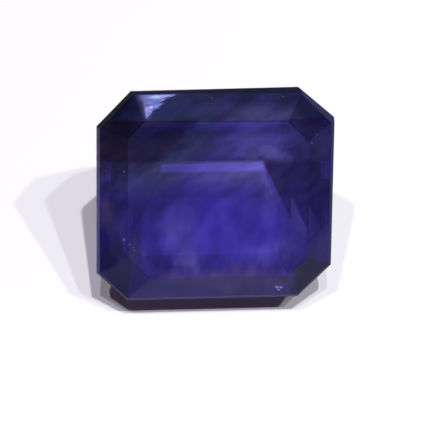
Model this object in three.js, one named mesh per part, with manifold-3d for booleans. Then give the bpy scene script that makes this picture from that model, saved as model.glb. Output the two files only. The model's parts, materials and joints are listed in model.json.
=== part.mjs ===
// A faceted fluorite: a rectangular step cut with cut corners, lying on a facet of its underside.
//
// The stone is shaped the way a cutter shapes it. A block of rough is ground flat along one plane
// after another, and what is left once the last facet is in is the finished stone. Eight sides go
// round the girdle, its widest line. Each side has a narrow steep rim facet and a broad crown facet
// above the girdle, and three pavilion facets below it. The crown stops at the table, the large
// flat window on top, and the pavilion comes together in the keel, a straight edge that runs along
// the stone. Cutting by hand has left the sides a few degrees out of square, the pavilion steeper at
// the ends than at the front, and the keel nearer to the back.
//
// The stone's own frame has its origin in the middle of the girdle, with +X along the keel and +Z
// out of the table. The finished stone is then laid down on the facet that carries its weight.

import * as THREE from "three";
import { mergeVertices } from "three/addons/utils/BufferGeometryUtils.js";
import Module from "manifold-3d";

// Lengths are in millimetres. Angles are in degrees, a facet's being measured from the girdle plane.
const ROUGH_SIZE = 20;
const GIRDLE_HEIGHT = 0.5;
const RIM_HEIGHT = 0.4;
const RIM_RUN = 0.2;
const CROWN_HEIGHT = 0.95;

// Depths below the girdle at which one pavilion step gives way to the next.
const STEP_DEPTHS = [3.25, 5.85];

// turn: the way a side faces, round from +X. reach: how far out it stands at the girdle.
// crownRun: how far its crown facet goes in. pavilion: the angles of its facets, girdle to keel.
// crownSkew, where there is one: how far round the two facets above the girdle are from the rest.
const SIDES = [
  { name: "right", turn: 359, reach: 6.4, crownRun: 1.35, pavilion: [67.5, 61, 57.5] },
  { name: "back_right", turn: 50, reach: 7.35, crownRun: 1.55, crownSkew: -4, pavilion: [61.5, 59.5, 49.5] },
  { name: "back", turn: 90.5, reach: 5.75, crownRun: 1.4, crownSkew: -1.5, pavilion: [60.5, 54.5, 48.5] },
  { name: "back_left", turn: 134.5, reach: 7.2, crownRun: 1.4, pavilion: [68, 60.5, 41.5] },
  { name: "left", turn: 178, reach: 6.45, crownRun: 1.55, pavilion: [65.5, 63, 59] },
  { name: "front_left", turn: 225.5, reach: 7.6, crownRun: 1.85, pavilion: [58.5, 56.5, 38.5] },
  { name: "front", turn: 270, reach: 5.75, crownRun: 1.3, pavilion: [58.5, 42.5, 28] },
  { name: "front_right", turn: 313.5, reach: 7.25, crownRun: 1.4, pavilion: [57.5, 57, 41.5] },
];

// One small facet more takes the point off the corner between the right and back-right sides.
const CORNER_FACET = { turn: 20, reach: 7.4, angle: 65 };

// The stone lies on the second step of its front side.
const RESTING_SIDE = "front";
const RESTING_STEP = 1;

const wasm = await Module();
wasm.setup();

const UPRIGHT = 90;
const radians = THREE.MathUtils.degToRad;
const girdleTop = GIRDLE_HEIGHT / 2;
const tableHeight = girdleTop + RIM_HEIGHT + CROWN_HEIGHT;

// A facet plane that faces this way round: through the point at this reach and height, sloping at
// this angle, and facing up (+1) or down (-1).
function facet(turn, reach, height, angle, up) {
  const outward = new THREE.Vector3(Math.cos(radians(turn)), Math.sin(radians(turn)), 0);
  const point = outward.clone().multiplyScalar(reach).setZ(height);
  const normal = outward.multiplyScalar(Math.sin(radians(angle)));
  normal.z = up * Math.cos(radians(angle));
  return new THREE.Plane().setFromNormalAndCoplanarPoint(normal, point);
}

// The two facets of a side above the girdle: the rim, and the crown facet that reaches the table.
function crownFacets(side) {
  const turn = side.turn + (side.crownSkew ?? 0);
  const rimAngle = THREE.MathUtils.radToDeg(Math.atan2(RIM_HEIGHT, RIM_RUN));
  const crownAngle = THREE.MathUtils.radToDeg(Math.atan2(CROWN_HEIGHT, side.crownRun));
  return [
    facet(turn, side.reach, girdleTop, rimAngle, 1),
    facet(turn, side.reach - RIM_RUN, girdleTop + RIM_HEIGHT, crownAngle, 1),
  ];
}

// The facets of a side below the girdle, each starting where the one above it has come in to.
function pavilionFacets(side) {
  let reach = side.reach;
  let depth = 0;
  return side.pavilion.map((angle, step) => {
    const plane = facet(side.turn, reach, -girdleTop - depth, angle, -1);
    const drop = (STEP_DEPTHS[step] ?? depth) - depth;
    reach -= drop / Math.tan(radians(angle));
    depth += drop;
    return plane;
  });
}

// The block of rough that the facets are ground into.
function roughBlock() {
  const block = new THREE.BoxGeometry(ROUGH_SIZE, ROUGH_SIZE, ROUGH_SIZE);
  block.deleteAttribute("normal");
  block.deleteAttribute("uv");
  const merged = mergeVertices(block);
  return new wasm.Manifold(
    new wasm.Mesh({
      numProp: 3,
      vertProperties: merged.attributes.position.array,
      triVerts: new Uint32Array(merged.index.array),
    }),
  );
}

// Takes away all that stands outside the plane.
function grind(stone, plane) {
  return stone.trimByPlane(plane.normal.clone().negate().toArray(), plane.constant);
}

// The finished stone in its own frame.
function cutStone() {
  const table = new THREE.Plane(new THREE.Vector3(0, 0, 1), -tableHeight);
  const corner = facet(CORNER_FACET.turn, CORNER_FACET.reach, girdleTop, CORNER_FACET.angle, 1);
  const around = SIDES.flatMap((side) => [
    facet(side.turn, side.reach, 0, UPRIGHT, 1),
    ...crownFacets(side),
    ...pavilionFacets(side),
  ]);
  return [table, ...around, corner].reduce(grind, roughBlock());
}

// A closed solid as a geometry with a normal for each face, so that every facet shows flat.
function geometryOf(solid) {
  const mesh = solid.getMesh();
  const geometry = new THREE.BufferGeometry();
  geometry.setAttribute("position", new THREE.BufferAttribute(mesh.vertProperties, mesh.numProp));
  geometry.setIndex(new THREE.BufferAttribute(mesh.triVerts, 1));
  const faceted = geometry.toNonIndexed();
  faceted.computeVertexNormals();
  return faceted;
}

const fluorite = new THREE.MeshStandardMaterial({
  name: "fluorite",
  color: 0x34298a,
  roughness: 0.05,
  metalness: 0,
  transparent: true,
  opacity: 0.85,
});

const gem = new THREE.Mesh(geometryOf(cutStone()), fluorite);
gem.name = "fluorite_gem";

// Laid on its resting facet, with its base at Z = 0 and its box centred on the Z axis.
const restingFacet = SIDES.find((side) => side.name === RESTING_SIDE).pavilion[RESTING_STEP];
gem.rotation.x = radians(restingFacet);
const box = new THREE.Box3().setFromObject(gem, true);
const middle = box.getCenter(new THREE.Vector3());
gem.position.set(-middle.x, -middle.y, -box.min.z);

const part = new THREE.Group();
part.add(gem);

export default part;
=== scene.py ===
import json
import math

import bmesh
import bpy
import numpy as np
from mathutils import Matrix, Vector
from mathutils.bvhtree import BVHTree


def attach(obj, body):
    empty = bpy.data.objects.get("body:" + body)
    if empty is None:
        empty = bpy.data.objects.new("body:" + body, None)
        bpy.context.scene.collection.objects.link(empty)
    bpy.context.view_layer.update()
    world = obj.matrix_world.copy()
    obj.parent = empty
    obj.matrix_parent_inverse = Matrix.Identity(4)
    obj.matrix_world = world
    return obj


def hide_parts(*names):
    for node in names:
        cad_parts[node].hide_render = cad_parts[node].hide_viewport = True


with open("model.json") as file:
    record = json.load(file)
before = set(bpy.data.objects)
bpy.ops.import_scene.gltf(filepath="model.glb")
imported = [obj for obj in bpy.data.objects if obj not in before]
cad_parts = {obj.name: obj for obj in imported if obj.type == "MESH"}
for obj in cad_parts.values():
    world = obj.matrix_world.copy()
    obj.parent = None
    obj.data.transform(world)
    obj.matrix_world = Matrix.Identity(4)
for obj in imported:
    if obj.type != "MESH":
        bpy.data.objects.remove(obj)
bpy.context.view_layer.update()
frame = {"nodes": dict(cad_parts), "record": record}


# The cut stone
# One piece of fluorite, ground and polished by hand into a rectangular step cut with cut corners.
# It is soft, so its facet edges are slightly rounded and chipped in places.

MM = 0.001
EDGE_WEAR = 0.02 * MM
SHARP_ANGLE = math.radians(3)
SAME_PLACE = 0.0001 * MM
SAME_PLANE = math.radians(0.2)

table_mount = next(m for m in frame["record"]["mounts"] if m["name"] == "table")
TABLE_MIDDLE = Vector(table_mount["pos_m"])
TABLE_OUT = Vector(table_mount["axis"]).normalized()
TABLE_RIGHT = Vector((1, 0, 0))
TABLE_UP = TABLE_OUT.cross(TABLE_RIGHT)


def whole_facets(node, name):
    """A copy of a node as one closed mesh: its corners are merged, and the triangles that lie in
    one plane become one facet."""
    mesh = bpy.data.meshes.new(name)
    bm = bmesh.new()
    bm.from_mesh(frame["nodes"][node].data)
    bmesh.ops.remove_doubles(bm, verts=bm.verts, dist=SAME_PLACE)
    bmesh.ops.dissolve_limit(
        bm, angle_limit=SAME_PLANE, use_dissolve_boundaries=False, verts=bm.verts, edges=bm.edges,
    )
    bm.to_mesh(mesh)
    bm.free()
    return mesh


# The way that each side faces, round from the table's right, in degrees, and how milky its facets
# look, beside the table's 1. These numbers also paint light and shade: each facet is made as bright
# or dark as the light falling through the stone makes it, and the left rim's and girdle's high
# numbers are a painted highlight. From the table outwards and down they are the crown facet, the
# rim, the girdle's edge and the three pavilion steps.
CROWN, RIM, GIRDLE, STEPS = range(4)
TABLE_MILK_AND_SHADE = 1
SIDES = {
    "right": (359, [0.75, 0.05, 0.05, 0.3, 0.25, 0.3]),
    "back_right": (50, [0.4, 0.5, 0.8, 0.5, 0.5, 0.5]),
    "back": (90.5, [0.65, 0.15, 0.05, 0.5, 0.5, 0.5]),
    "back_left": (134.5, [0.45, 0.05, 0.05, 0.5, 0.5, 0.5]),
    "left": (178, [0.75, 2.0, 1.5, 0.45, 0.45, 0.45]),
    "front_left": (225.5, [0.55, 0.2, 0.2, 0.2, 0.5, 0.5]),
    "front": (270, [0.65, 0.35, 0.15, 0.75, 0.6, 1.1]),
    "front_right": (313.5, [0.4, 0.1, 0.05, 0.03, 0.4, 0.7]),
}
# How far the girdle's middle is below the table, and how far below it one step gives way to the next.
GIRDLE_BELOW_TABLE = 1.6 * MM
STEP_DEPTHS = (3.5 * MM, 6.1 * MM)
# The upright share of a facet's normal above which it is the table, a crown facet or a rim facet.
TABLE_UPRIGHT, CROWN_UPRIGHT, RIM_UPRIGHT = 0.999, 0.6, 0.1


def facet_milk_and_shade(mesh):
    """The milkiness of each face, with the light and shade painted on it: its normal gives the side,
    as the one whose turn is nearest, and its slope or its middle's depth under the girdle gives the
    row of facets that it is in."""
    count = len(mesh.polygons)
    normals = np.empty(count * 3, dtype=np.float32)
    middles = np.empty(count * 3, dtype=np.float32)
    mesh.polygons.foreach_get("normal", normals)
    mesh.polygons.foreach_get("center", middles)
    to_table = np.array([TABLE_RIGHT, TABLE_UP, TABLE_OUT])
    across, along, upright = to_table @ normals.reshape(-1, 3).T
    depths = (np.array(TABLE_MIDDLE) - middles.reshape(-1, 3)) @ to_table[2] - GIRDLE_BELOW_TABLE
    turns = np.radians([turn for turn, _ in SIDES.values()])
    side = (np.outer(across, np.cos(turns)) + np.outer(along, np.sin(turns))).argmax(axis=1)
    row = STEPS + np.searchsorted(STEP_DEPTHS, depths)
    row[upright > -RIM_UPRIGHT] = GIRDLE
    row[upright > RIM_UPRIGHT] = RIM
    row[upright > CROWN_UPRIGHT] = CROWN
    values = np.array([values for _, values in SIDES.values()])[side, row]
    return np.where(upright > TABLE_UPRIGHT, TABLE_MILK_AND_SHADE, values)


# The stone before any wear. The nicks and the feather find their places on its facets.
sharp_stone = whole_facets("fluorite_gem", "gem")
bm = bmesh.new()
bm.from_mesh(sharp_stone)
sharp_facets = BVHTree.FromBMesh(bm)
bm.free()


def over_facet(right, up, rise):
    """The point that stands this far off the facet under a place over the table. The place is given
    by how far it is to the right of the table's middle and up, in millimetres."""
    above = TABLE_MIDDLE + (TABLE_RIGHT * right + TABLE_UP * up + TABLE_OUT) * MM
    touched, normal, _, _ = sharp_facets.ray_cast(above, -TABLE_OUT)
    return touched + normal * rise


# Nicks out of the edges and facets: how far each is to the right of the table's middle and up, the
# radius of the ball that scoops it out, in millimetres, and how white it is. The first three
# together are heart-shaped.
NICKS = [
    (3.2, -4.93, 0.15, 1.0), (3.42, -4.95, 0.13, 1.0), (3.31, -5.11, 0.13, 0.8),
    (-5.03, -2.01, 0.11, 0.45), (-4.72, -2.28, 0.05, 0.5), (-4.58, -2.42, 0.05, 0.5),
    (-4.48, -2.58, 0.04, 0.5), (-4.91, 1.65, 0.08, 0.3), (5.03, 2.98, 0.08, 0.3),
    (5.3, 3.4, 0.06, 0.25), (3.59, 5.39, 0.07, 0.25), (-0.21, 5.4, 0.07, 0.2),
]
# How far a ball's middle stands off the facet, and how far from it a nick's corners may lie, as
# shares of its radius.
NICK_RISE = 0.6
NICK_REACH = 1.01


def worn_stone(sharp, scoops):
    """The stone's mesh with its sharp edges worn flat and with the scoops' balls taken out of it."""
    bm = bmesh.new()
    for *middle, radius in scoops:
        place = Matrix.Translation(middle)
        bmesh.ops.create_icosphere(bm, subdivisions=2, radius=radius, matrix=place)
    scoop_mesh = bpy.data.meshes.new("scoops")
    bm.to_mesh(scoop_mesh)
    bm.free()
    scoop_object = bpy.data.objects.new("scoops", scoop_mesh)
    stone = bpy.data.objects.new("stone", sharp)
    for thing in (scoop_object, stone):
        bpy.context.scene.collection.objects.link(thing)
    wear = stone.modifiers.new("edge_wear", "BEVEL")
    wear.width = EDGE_WEAR
    wear.segments = 1
    wear.limit_method = "ANGLE"
    wear.angle_limit = SHARP_ANGLE
    cut = stone.modifiers.new("nicks", "BOOLEAN")
    cut.operation = "DIFFERENCE"
    cut.solver = "EXACT"
    cut.use_self = True
    cut.object = scoop_object
    scene_graph = bpy.context.evaluated_depsgraph_get()
    worn = bpy.data.meshes.new_from_object(stone.evaluated_get(scene_graph))
    for thing in (scoop_object, stone):
        bpy.data.objects.remove(thing)
    return worn


def nick_white(mesh, scoops, white):
    """The whiteness of the nick that each face belongs to, the one whose ball holds all of the
    face's corners. It is 0 for the other faces."""
    places = np.empty(len(mesh.vertices) * 3, dtype=np.float32)
    corners = np.empty(len(mesh.loops), dtype=np.int32)
    first_corners = np.empty(len(mesh.polygons), dtype=np.int32)
    mesh.vertices.foreach_get("co", places)
    mesh.loops.foreach_get("vertex_index", corners)
    mesh.polygons.foreach_get("loop_start", first_corners)
    far = np.linalg.norm(places.reshape(-1, 1, 3) - scoops[:, :3], axis=2)
    inside = (far < scoops[:, 3] * NICK_REACH)[corners]
    return np.where(np.logical_and.reduceat(inside, first_corners), white, 0).max(axis=1)


scoops = np.array([
    (*over_facet(right, up, radius * NICK_RISE * MM), radius * MM) for right, up, radius, _ in NICKS
])
gem_mesh = worn_stone(sharp_stone, scoops)
gem = bpy.data.objects.new("gem", gem_mesh)
bpy.context.scene.collection.objects.link(gem)
nick_values = nick_white(gem_mesh, scoops, np.array(NICKS)[:, 3])
# Each face keeps its milkiness, which carries its painted light and shade, and its nick's whiteness.
for name, values in (("milk_and_shade", facet_milk_and_shade(gem_mesh)), ("nick", nick_values)):
    gem_mesh.attributes.new(name, "FLOAT", "FACE").data.foreach_set("value", values)


def add(tree, kind, inputs=(), **settings):
    """A new node, with its settings made and each input set to a value or joined to an output."""
    made = tree.nodes.new(kind)
    for name, value in settings.items():
        setattr(made, name, value)
    for name, value in dict(inputs).items():
        if isinstance(value, bpy.types.NodeSocket):
            tree.links.new(value, made.inputs[name])
        else:
            made.inputs[name].default_value = value
    return made


def math_node(tree, operation, *terms):
    """The output of a Math node that works on these numbers or outputs."""
    return add(tree, "ShaderNodeMath", dict(enumerate(terms)), operation=operation).outputs[0]


def ramp(tree, value, start, end, low=0.0, high=1.0):
    """A number that goes smoothly from low to high as the value goes from start to end."""
    return add(
        tree, "ShaderNodeMapRange",
        {"Value": value, "From Min": start, "From Max": end, "To Min": low, "To Max": high},
        interpolation_type="SMOOTHSTEP",
    ).outputs["Result"]


# Where a Mix node that is set to colours has its colour inputs and its output.
FIRST_COLOUR, SECOND_COLOUR, MIXED_COLOUR = 6, 7, 2


def blend(tree, share, first, second):
    """The first colour, with this share of the second one mixed in."""
    colours = {"Factor": share, FIRST_COLOUR: first, SECOND_COLOUR: second}
    return add(tree, "ShaderNodeMix", colours, data_type="RGBA").outputs[MIXED_COLOUR]


def scaled(tree, colour, factor):
    """The colour with all of it multiplied by this factor."""
    return add(
        tree, "ShaderNodeVectorMath", {0: colour, "Scale": factor}, operation="SCALE",
    ).outputs["Vector"]


fluorite = bpy.data.materials.new("fluorite")
fluorite.use_nodes = True
tree = fluorite.node_tree
glass = tree.nodes["Principled BSDF"]
output = tree.nodes["Material Output"]

tilt = math.atan2(-TABLE_OUT.y, TABLE_OUT.z)
turn_back = Matrix.Rotation(-tilt, 3, "X")
object_place = add(tree, "ShaderNodeTexCoord").outputs["Object"]
stone_place = add(
    tree, "ShaderNodeMapping",
    {
        "Vector": object_place,
        "Location": -(turn_back @ TABLE_MIDDLE) / MM,
        "Rotation": (-tilt, 0, 0),
        "Scale": (1 / MM, 1 / MM, 1 / MM),
    },
).outputs["Vector"]
measures = add(tree, "ShaderNodeSeparateXYZ", {"Vector": stone_place}).outputs
floor_height = add(tree, "ShaderNodeSeparateXYZ", {"Vector": object_place}).outputs["Z"]

# Places in the pattern are in millimetres to the right of the table's middle, up and out of it.
right, up, height = measures["X"], measures["Y"], measures["Z"]
GIRDLE_HEIGHT = 0.5
RIM_HEIGHT = 0.4
GIRDLE_FOOT = -GIRDLE_BELOW_TABLE / MM - GIRDLE_HEIGHT / 2
GIRDLE_TOP = GIRDLE_FOOT + GIRDLE_HEIGHT
RIM_TOP = GIRDLE_TOP + RIM_HEIGHT
BACK_EDGE = 4.2
underside = ramp(tree, height, GIRDLE_FOOT + 0.05, GIRDLE_FOOT - 0.05)
below_rim = ramp(tree, height, GIRDLE_TOP + 0.02, GIRDLE_TOP - 0.01)
resting = ramp(tree, floor_height, 0.03 * MM, 0.01 * MM)


def new_group(name, inputs, output, kind):
    """An empty node group with inputs of these names and kinds and with one output. The outputs of
    its Group Input node are returned with it."""
    made = bpy.data.node_groups.new(name, "ShaderNodeTree")
    for socket, socket_kind in inputs.items():
        made.interface.new_socket(socket, in_out="INPUT", socket_type=socket_kind)
    made.interface.new_socket(output, in_out="OUTPUT", socket_type=kind)
    return made, add(made, "NodeGroupInput").outputs


def vector_node(tree, operation, *terms):
    """The vector output of a Vector Math node that works on these vectors or outputs."""
    node = add(tree, "ShaderNodeVectorMath", dict(enumerate(terms)), operation=operation)
    return node.outputs["Vector"]


def turned(tree, vector, middle, turn):
    """The vector turned back by this angle about the middle, round the table's outward axis."""
    node = add(
        tree, "ShaderNodeVectorRotate",
        {"Vector": vector, "Center": middle, "Angle": math_node(tree, "MULTIPLY", turn, -1.0)},
        rotation_type="Z_AXIS",
    )
    return node.outputs["Vector"]


# A place moved about by noise, so that what is drawn at it has no even outline.
NOISE_MIDDLE = (0.5, 0.5, 0.5)
drift_group, given = new_group(
    "drift",
    {"Place": "NodeSocketVector", "Scale": "NodeSocketFloat", "Amount": "NodeSocketVector"},
    "Place", "NodeSocketVector",
)
cloudy = add(
    drift_group, "ShaderNodeTexNoise",
    {"Vector": given["Place"], "Scale": given["Scale"], "Detail": 6.0, "Roughness": 0.65},
).outputs["Color"]
either_way = vector_node(drift_group, "SUBTRACT", cloudy, NOISE_MIDDLE)
moved = vector_node(drift_group, "MULTIPLY_ADD", either_way, given["Amount"], given["Place"])
add(drift_group, "NodeGroupOutput", {"Place": moved})

# A soft ellipse. It is full inside this share of its radii and fades to nothing at their ends. A
# vector divided by 0 gives 0, so a third radius of 0 leaves the height out.
patch_group, given = new_group(
    "patch",
    {
        "Place": "NodeSocketVector", "Middle": "NodeSocketVector", "Radii": "NodeSocketVector",
        "Turn": "NodeSocketFloat", "Full": "NodeSocketFloat",
    },
    "Share", "NodeSocketFloat",
)
along_axes = turned(patch_group, given["Place"], given["Middle"], given["Turn"])
offset = vector_node(patch_group, "SUBTRACT", along_axes, given["Middle"])
in_radii = vector_node(patch_group, "DIVIDE", offset, given["Radii"])
far = add(patch_group, "ShaderNodeVectorMath", {0: in_radii}, operation="LENGTH").outputs["Value"]
add(patch_group, "NodeGroupOutput", {"Share": ramp(patch_group, far, 1.0, given["Full"])})

# Noise that is drawn out into streaks of this length and width. They reach this far into the stone.
STREAK_DEPTH = 3.3
streak_group, given = new_group(
    "streaks",
    {
        "Place": "NodeSocketVector", "Turn": "NodeSocketFloat", "Length": "NodeSocketFloat",
        "Width": "NodeSocketFloat",
    },
    "Noise", "NodeSocketFloat",
)
streak_size = add(
    streak_group, "ShaderNodeCombineXYZ",
    {"X": given["Length"], "Y": given["Width"], "Z": STREAK_DEPTH},
).outputs["Vector"]
along_streak = turned(streak_group, given["Place"], (0, 0, 0), given["Turn"])
in_sizes = vector_node(streak_group, "DIVIDE", along_streak, streak_size)
drawn_out = add(
    streak_group, "ShaderNodeTexNoise",
    {"Vector": in_sizes, "Scale": 1.0, "Detail": 4.0, "Roughness": 0.6},
).outputs["Fac"]
add(streak_group, "NodeGroupOutput", {"Noise": drawn_out})


def drift(tree, place, scale, amount):
    """The place moved about by noise of this scale, by up to half of this amount each way."""
    inputs = {"Place": place, "Scale": scale, "Amount": (amount, amount, 0)}
    return add(tree, "ShaderNodeGroup", inputs, node_tree=drift_group).outputs["Place"]


def patch(tree, place, middle, radii, turn=0.0, full=0.2):
    """The share of a soft ellipse with this middle, these radii and this turn in degrees."""
    inputs = {
        "Place": place, "Middle": (*middle, 0), "Radii": (*radii, 0),
        "Turn": math.radians(turn), "Full": full,
    }
    return add(tree, "ShaderNodeGroup", inputs, node_tree=patch_group).outputs["Share"]


def streaks(tree, place, turn, length, width):
    """Noise between 0 and 1 in streaks of this turn in degrees, this length and this width."""
    inputs = {"Place": place, "Turn": math.radians(turn), "Length": length, "Width": width}
    return add(tree, "ShaderNodeGroup", inputs, node_tree=streak_group).outputs["Noise"]


def product(tree, *shares):
    """All the shares multiplied together."""
    result = shares[0]
    for share in shares[1:]:
        result = math_node(tree, "MULTIPLY", result, share)
    return result


def with_patches(tree, place, colour, patches):
    """The colour with each patch laid over it in turn. A patch is given by its colour, its middle,
    its radii, its turn in degrees and how much it covers."""
    for patch_colour, middle, radii, turn, cover in patches:
        share = math_node(tree, "MULTIPLY", patch(tree, place, middle, radii, turn), cover)
        colour = blend(tree, share, colour, patch_colour)
    return colour


# The colour of the milkiness, with clouds in it. The clouds are partly the stone's own colour
# zoning and partly painted light, brighter where light comes through the stone, as in the lower
# middle over the resting facet and over the keel's right end.
VIOLET = (0.07, 0.055, 0.29, 1)
CLOUDS_AND_LIGHT = [
    ((0.12, 0.095, 0.6, 1), (1.3, -1.7), (5.6, 3.7), 0, 1.0),
    ((0.18, 0.165, 0.75, 1), (1.9, 3.3), (3.6, 1.9), 12, 0.85),
    ((0.13, 0.11, 0.8, 1), (0.2, 1.0), (3.6, 1.4), 0, 0.8),
    ((0.17, 0.14, 0.66, 1), (2.9, 0.2), (0.9, 2.0), 0, 0.9),
    ((0.2, 0.16, 0.62, 1), (-2.2, -1.4), (1.5, 2.0), 15, 0.8),
    ((0.2, 0.18, 0.6, 1), (-1.7, -2.9), (0.8, 1.3), 8, 0.9),
    ((0.19, 0.16, 0.72, 1), (2.7, -2.8), (1.9, 0.9), 8, 0.8),
    ((0.14, 0.12, 0.42, 1), (5.3, 2.8), (1.1, 1.9), 0, 0.5),
    ((0.15, 0.12, 0.52, 1), (4.4, -1.0), (0.9, 1.4), 0, 0.7),
    ((0.14, 0.11, 0.32, 1), (-5.2, -1.0), (0.9, 1.5), 0, 0.7),
    ((0.13, 0.1, 0.35, 1), (-5.0, -2.9), (1.7, 2.0), 0, 0.8),
    ((0.06, 0.045, 0.22, 1), (-3.3, -3.4), (0.6, 1.1), 30, 0.8),
    ((0.22, 0.15, 0.36, 1), (0.6, -4.3), (5.6, 1.1), 0, 0.85),
    ((0.2, 0.16, 0.6, 1), (4.1, -4.3), (1.0, 0.8), 45, 0.7),
    ((0.2, 0.15, 0.3, 1), (-6.1, -0.6), (0.7, 1.6), 0, 0.8),
    ((0.05, 0.04, 0.15, 1), (-6.1, -3.2), (0.8, 1.4), 0, 0.6),
    ((0.3, 0.27, 1, 1), (2.5, 2.4), (1.7, 0.7), 0, 0.85),
]
CLOUD_SCALE, CLOUD_DRIFT = 0.5, 2.6
drifted = drift(tree, stone_place, CLOUD_SCALE, CLOUD_DRIFT)
colour = with_patches(tree, drifted, VIOLET, CLOUDS_AND_LIGHT)

# Growth zones curve round the upper left corner: a grey-green one, and a nearly black one inside.
# The corner itself is darkest, and there is some brown to the left.
TEAL = (0.09, 0.112, 0.31, 1)
NAVY = (0.05, 0.042, 0.13, 1)
ZONES_MIDDLE = (-4.9, 5.8)
DARK_PATCHES = [
    ((0.07, 0.052, 0.12, 1), (-5.6, 2.9), (1.5, 1.7), 0, 1.0),
    ((0.07, 0.052, 0.12, 1), (-6.1, 2.0), (0.9, 2.2), 0, 1.0),
    ((0.02, 0.015, 0.05, 1), (-5.8, 5.5), (2.3, 2.0), 0, 1.0),
]
teal = patch(tree, drifted, ZONES_MIDDLE, (6.1, 6.1), full=0.75)
teal = product(tree, teal, ramp(tree, right, 3.5, -1.0, 0.0, 0.9))
on_crown = ramp(tree, up, BACK_EDGE, BACK_EDGE + 0.1)
crown_teal = product(tree, on_crown, ramp(tree, right, -4.4, -3.6), 0.5)
teal = math_node(tree, "MAXIMUM", teal, crown_teal)
colour = blend(tree, teal, colour, TEAL)
navy = patch(tree, drifted, ZONES_MIDDLE, (4.5, 4.5), full=0.8)
navy = product(tree, navy, ramp(tree, up, BACK_EDGE + 0.2, BACK_EDGE))
colour = blend(tree, navy, colour, NAVY)
colour = with_patches(tree, drifted, colour, DARK_PATCHES)

# The back of the crown is paler to the right.
CROWN_GLOW = (0.2, 0.2, 0.6, 1)
glow = product(
    tree, ramp(tree, up, BACK_EDGE, BACK_EDGE + 0.08), ramp(tree, up, 5.3, 4.5),
    ramp(tree, right, -0.8, 2.5), ramp(tree, right, 4.7, 4.0),
)
colour = blend(tree, glow, colour, CROWN_GLOW)

# A pale band of painted light stands over the keel, where the lit floor behind the stone shows
# through. It is brightest near its right end and fades towards the front.
KEEL_LIGHT = (0.36, 0.32, 1, 1)
keel_light = product(
    tree, ramp(tree, up, 2.2, 2.05), ramp(tree, up, 0.3, 1.9), ramp(tree, right, 2.75, 2.45),
    ramp(tree, right, -3.6, 1.8, 0.1, 0.75),
)
colour = blend(tree, keel_light, colour, KEEL_LIGHT)

# The right end is in shade, behind a slanting line whose lower end is cut into spikes.
SHADE = (0.06, 0.047, 0.23, 1)
SPIKES_FROM, SPIKE_WIDTH, SPIKE_SLOPE = 2.94, 0.96, 1.73
slant = math_node(tree, "MULTIPLY_ADD", up, 0.46, right)
tooth = math_node(tree, "MODULO", math_node(tree, "SUBTRACT", right, SPIKES_FROM), SPIKE_WIDTH)
foot = math_node(tree, "MULTIPLY_ADD", right, 0.47, up)
spikes = math_node(tree, "MULTIPLY_ADD", tooth, SPIKE_SLOPE, foot)
shaded = product(
    tree, ramp(tree, slant, 3.3, 3.46), ramp(tree, spikes, 1.95, 2.2), ramp(tree, up, 2.3, 1.8), 0.95,
)
colour = blend(tree, shaded, colour, SHADE)

# Fine wisps make all of it uneven. They run along the growth zones, and downwards in the front.
along_zones = streaks(tree, stone_place, 28, 2.4, 0.8)
downwards = streaks(tree, stone_place, 78, 2.2, 0.9)
wisps = blend(tree, ramp(tree, up, 0.5, -0.8), along_zones, downwards)
unevenness = ramp(tree, wisps, 0.28, 0.72, 0.72, 1.36)

# Painted shade makes the table a little darker in front of its back edge.
on_table = ramp(tree, height, -0.06, -0.02)
table_edge_shade = product(
    tree, ramp(tree, up, BACK_EDGE - 1.0, BACK_EDGE - 0.5),
    ramp(tree, up, BACK_EDGE - 0.05, BACK_EDGE - 0.35), on_table, 0.3,
)
unevenness = product(tree, unevenness, math_node(tree, "SUBTRACT", 1.0, table_edge_shade))
colour = scaled(tree, colour, unevenness)

# The underside is paler, and darker again towards the keel.
UNDER = (0.3, 0.25, 0.9, 1)
KEEL = (0.1, 0.09, 0.35, 1)
KEEL_FROM, KEEL_TO = -8.0, -8.7
under = blend(tree, ramp(tree, height, KEEL_FROM, KEEL_TO), UNDER, KEEL)
colour = blend(tree, underside, colour, under)

# Each facet has its own milkiness and its own painted light and shade, and the nicks are whitish.
NICK = (0.7, 0.66, 1, 1)
milk_and_shade = add(tree, "ShaderNodeAttribute", attribute_name="milk_and_shade").outputs["Fac"]
colour = scaled(tree, colour, milk_and_shade)
nick = add(tree, "ShaderNodeAttribute", attribute_name="nick").outputs["Fac"]
colour = blend(tree, nick, colour, NICK)
tree.links.new(colour, glass.inputs["Base Color"])

# The rim and the girdle's edge are left as ground, and the other facets are polished.
GROUND_ROUGHNESS = 0.65
ground = product(
    tree, ramp(tree, height, GIRDLE_FOOT - 0.05, GIRDLE_FOOT + 0.05),
    ramp(tree, height, RIM_TOP + 0.03, RIM_TOP - 0.01), GROUND_ROUGHNESS,
)
tree.links.new(ground, glass.inputs["Roughness"])

# Most of the light that isn't mirrored goes on into the stone, and the milkiness sends back the rest.
FLUORITE_IOR = 1.434
MIRROR_LEVEL = 0.35
MIRROR_TINT = (0.3, 0.27, 0.42, 1)
CLEAR_SHARE = 0.7
glass.inputs["IOR"].default_value = FLUORITE_IOR
glass.inputs["Specular IOR Level"].default_value = MIRROR_LEVEL
glass.inputs["Specular Tint"].default_value = MIRROR_TINT
glass.inputs["Transmission Weight"].default_value = CLEAR_SHARE

# How strongly each millimetre of the stone absorbs red, green and blue light. The node absorbs its
# density times what its colour lacks of 1, and the light that is absorbed most has this colour.
ABSORBED_PER_MM = (0.12, 0.13, 0.03)
DARKEST = 0.1
density = max(ABSORBED_PER_MM) / MM / (1 - DARKEST)
depth_colour = [1 - absorbed / MM / density for absorbed in ABSORBED_PER_MM]
absorption = add(
    tree, "ShaderNodeVolumeAbsorption", {"Density": density, "Color": (*depth_colour, 1)},
)
tree.links.new(absorption.outputs["Volume"], output.inputs["Volume"])

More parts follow.
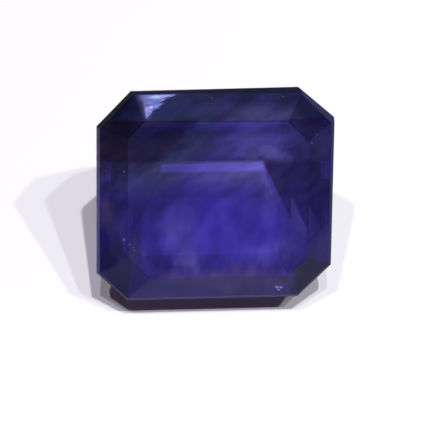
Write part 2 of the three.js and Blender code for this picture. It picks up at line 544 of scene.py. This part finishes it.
# Light from the lamps and the floor goes straight through: all of it above the girdle, very little
# from the girdle down, and some through the resting facet.
LIGHT_IN = (1, 1, 1, 1)
LIGHT_OUT = (0.01, 0.005, 0.008, 1)
LIGHT_DOWN = (0.4, 0.4, 0.4, 1)
passed = blend(tree, below_rim, LIGHT_IN, LIGHT_OUT)
passed = blend(tree, resting, passed, LIGHT_DOWN)
clear = add(tree, "ShaderNodeBsdfTransparent", {"Color": passed})
ray = add(tree, "ShaderNodeLightPath").outputs
straight = math_node(tree, "MAXIMUM", ray["Is Shadow Ray"], ray["Is Diffuse Ray"])
mixed = add(
    tree, "ShaderNodeMixShader",
    {0: straight, 1: glass.outputs["BSDF"], 2: clear.outputs["BSDF"]},
)
tree.links.new(mixed.outputs["Shader"], output.inputs["Surface"])

gem.data.materials.append(fluorite)
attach(gem, "root")
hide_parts("fluorite_gem")


# The feather
# A thin crack at the left end of the crown's back facet, where it comes up to the surface. The
# bluish white light that it throws back is painted into its colour, as glints that run down to the
# left.

# Its corners, to the right of the table's middle and up in millimetres: along its top from the
# left, then along its foot from the left.
FEATHER_CORNERS = [(-4.24, 5.6), (-2.1, 5.6), (-3.74, 4.3), (-3.25, 4.3)]
FEATHER_STEPS = 24
FEATHER_RISE = 0.004 * MM


def feather_sheet(name):
    """A sheet of four-sided faces on the facet. Each of its points lies that share of the way
    across between the left and right edges which its u gives, and that share of the way from the
    top to the foot which its v gives. The sheet stands a little off the facet."""
    corners = [over_facet(right, up, FEATHER_RISE) for right, up in FEATHER_CORNERS]
    top_left, top_right, foot_left, foot_right = np.array(corners)
    shares = np.linspace(0, 1, FEATHER_STEPS + 1)
    v, u = (axis.ravel()[:, None] for axis in np.meshgrid(shares, shares, indexing="ij"))
    top = (1 - u) * top_left + u * top_right
    foot = (1 - u) * foot_left + u * foot_right
    points = (1 - v) * top + v * foot
    row = FEATHER_STEPS + 1
    first = (np.arange(FEATHER_STEPS)[:, None] * row + np.arange(FEATHER_STEPS)).ravel()
    faces = np.stack([first, first + row, first + row + 1, first + 1], axis=1)
    mesh = bpy.data.meshes.new(name)
    mesh.from_pydata(points.tolist(), [], faces.tolist())
    layer = mesh.uv_layers.new(name="sheet")
    layer.data.foreach_set("uv", np.hstack([u, v])[faces.ravel()].ravel())
    return mesh


feather = bpy.data.objects.new("feather", feather_sheet("feather"))
bpy.context.scene.collection.objects.link(feather)

crack = bpy.data.materials.new("crack")
crack.use_nodes = True
tree = crack.node_tree
crack_surface = tree.nodes["Principled BSDF"]
sheet = add(tree, "ShaderNodeUVMap", uv_map="sheet").outputs["UV"]
shares = add(tree, "ShaderNodeSeparateXYZ", {"Vector": sheet}).outputs
u, v = shares["X"], shares["Y"]
grain = streaks(tree, sheet, -28, 0.6, 0.16)

# Its colour, a painted reflection with painted glints in it and a violet left edge. Places are
# shares of the sheet.
CRACK_BLUE = (0.085, 0.12, 0.4, 1)
PAINTED_GLINTS = [
    ((0.1, 0.09, 0.32, 1), (0.2, 0.12), (0.26, 0.2), 0, 0.9),
    ((0.34, 0.46, 0.8, 1), (0.52, 0.1), (0.3, 0.1), 0, 1.0),
    ((0.29, 0.27, 0.7, 1), (0.82, 0.06), (0.3, 0.09), -8, 1.0),
    ((0.24, 0.26, 0.7, 1), (0.76, 0.24), (0.1, 0.18), 15, 0.8),
    ((0.14, 0.15, 0.5, 1), (0.34, 0.33), (0.16, 0.05), -28, 0.8),
    ((0.03, 0.04, 0.24, 1), (0.26, 0.43), (0.17, 0.1), -28, 0.9),
    ((0.2, 0.27, 0.68, 1), (0.58, 0.42), (0.28, 0.06), -28, 0.7),
    ((0.4, 0.52, 0.95, 1), (0.43, 0.49), (0.11, 0.07), -28, 1.0),
    ((0.27, 0.24, 0.66, 1), (0.27, 0.66), (0.27, 0.28), 0, 0.95),
    ((0.1, 0.09, 0.38, 1), (0.34, 0.71), (0.12, 0.09), 0, 0.8),
]
CRACK_VIOLET = (0.028, 0.021, 0.12, 1)
GLINT_SCALE, GLINT_DRIFT = 5.0, 0.22
glinting = drift(tree, sheet, GLINT_SCALE, GLINT_DRIFT)
tint = with_patches(tree, glinting, CRACK_BLUE, PAINTED_GLINTS)
dim = product(tree, ramp(tree, u, 0.24, 0.1), ramp(tree, v, 0.12, 0.3))
tint = blend(tree, dim, tint, CRACK_VIOLET)
tint = scaled(tree, tint, ramp(tree, grain, 0.3, 0.65, 0.75, 1.2))
tree.links.new(tint, crack_surface.inputs["Base Color"])
crack_surface.inputs["Roughness"].default_value = 0.6

# Its right edge goes in steeply just below the top, then down, in again half way, and is ragged.
top_edge = math_node(tree, "MULTIPLY_ADD", v, -2.0, 1.0)
stepped_edge = math_node(
    tree, "SUBTRACT", ramp(tree, v, 0.48, 0.6, 0.79, 0.58), ramp(tree, v, 0.7, 1.0, 0.0, 0.3),
)
right_edge = math_node(tree, "MAXIMUM", top_edge, stepped_edge)
ragged = math_node(tree, "MULTIPLY_ADD", grain, 0.6, math_node(tree, "SUBTRACT", right_edge, u))
shown = product(
    tree, ramp(tree, ragged, 0.24, 0.4), ramp(tree, u, 0.0, 0.25, 0.1, 1.0),
    ramp(tree, v, 1.0, 0.85),
)
tree.links.new(shown, crack_surface.inputs["Alpha"])
feather.data.materials.append(crack)
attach(feather, "root")


# The floor and the light
# The stone lies on plain white paper under five small lamps, three of them almost overhead. The
# room round it is dim, so that its facets look dark, and the camera sees the room as white.

# The paper's top is a hair lower than the resting facet, so that the two don't coincide.
FLOOR_SIZE = 1.2
FLOOR_TOP = -0.01 * MM
FLOOR_WHITE = 0.9

floor_mesh = bpy.data.meshes.new("floor")
half = FLOOR_SIZE / 2
floor_mesh.from_pydata(
    [(x * half, y * half, FLOOR_TOP) for x, y in ((-1, -1), (1, -1), (1, 1), (-1, 1))],
    [], [(0, 1, 2, 3)],
)
floor = bpy.data.objects.new("floor", floor_mesh)
bpy.context.scene.collection.objects.link(floor)
paper = bpy.data.materials.new("paper")
paper.use_nodes = True
paper_surface = paper.node_tree.nodes["Principled BSDF"]
paper_surface.inputs["Base Color"].default_value = (FLOOR_WHITE, FLOOR_WHITE, FLOOR_WHITE, 1)
paper_surface.inputs["Roughness"].default_value = 0.6
floor.data.materials.append(paper)

# Each lamp's azimuth round from +X and its elevation, in degrees, how bright it alone makes the
# floor, and its tint.
LAMPS = {
    "lamp_right_low": (-3, 55.5, 0.16, (1, 0.97, 1.05)),
    "lamp_right": (-6, 65.5, 0.14, (1, 1, 1.08)),
    "lamp_right_high": (19, 79.3, 0.37, (1, 1, 0.97)),
    "lamp_left": (158, 75, 0.16, (1, 0.95, 1.05)),
    "lamp_top": (108, 87.8, 0.15, (1, 0.98, 1.25)),
}
LAMP_DISTANCE = 0.5
LAMP_WIDTH = 0.015

# Straight below a flat lamp, a white surface is as bright as the lamp's energy over the square of pi
# times the distance. The lamps light the surfaces but aren't mirrored in the polished facets.
for name, (azimuth, elevation, brightness, tint) in LAMPS.items():
    turn = math.radians(azimuth)
    rise = math.radians(elevation)
    way = Vector((math.cos(turn) * math.cos(rise), math.sin(turn) * math.cos(rise), math.sin(rise)))
    light = bpy.data.lights.new(name, "AREA")
    light.shape = "DISK"
    light.size = LAMP_WIDTH
    light.color = tint
    light.energy = brightness * (math.pi * LAMP_DISTANCE) ** 2 / (FLOOR_WHITE * way.z)
    light.cycles.use_multiple_importance_sampling = False
    lamp = bpy.data.objects.new(name, light)
    lamp.location = way * LAMP_DISTANCE
    lamp.rotation_euler = way.to_track_quat("Z", "Y").to_euler()
    bpy.context.scene.collection.objects.link(lamp)

ROOM = (0.045, 0.034, 0.05, 1)
BACKDROP = (1, 1, 1, 1)

world = bpy.data.worlds.new("room")
bpy.context.scene.world = world
world.use_nodes = True
tree = world.node_tree
seen_by_camera = add(tree, "ShaderNodeLightPath").outputs["Is Camera Ray"]
tone = blend(tree, seen_by_camera, ROOM, BACKDROP)
tree.links.new(tone, tree.nodes["Background"].inputs["Color"])

bpy.context.scene.view_settings.view_transform = "Standard"


# The camera
# It looks down on the stone from in front and a little from the left, and is rolled by about two
# degrees.

CAMERA_AIM = Vector((0, -1.78, 5)) * MM
CAMERA_DISTANCE = 54.46 * MM
CAMERA_AZIMUTH = 3.86
CAMERA_ELEVATION = 58.47
CAMERA_ROLL = 2.1
PICTURE_WIDTH_PIXELS = 430
FOCAL_LENGTH_PIXELS = 1007

camera_data = bpy.data.cameras.new("camera")
camera_data.sensor_fit = "HORIZONTAL"
camera_data.lens = camera_data.sensor_width * FOCAL_LENGTH_PIXELS / PICTURE_WIDTH_PIXELS
camera_data.clip_start = 1 * MM
camera = bpy.data.objects.new("camera", camera_data)
camera.matrix_world = (
    Matrix.Translation(CAMERA_AIM)
    @ Matrix.Rotation(-math.radians(CAMERA_AZIMUTH), 4, "Z")
    @ Matrix.Rotation(math.radians(90 - CAMERA_ELEVATION), 4, "X")
    @ Matrix.Rotation(math.radians(CAMERA_ROLL), 4, "Z")
    @ Matrix.Translation((0, 0, CAMERA_DISTANCE))
)
bpy.context.scene.collection.objects.link(camera)
bpy.context.scene.camera = camera
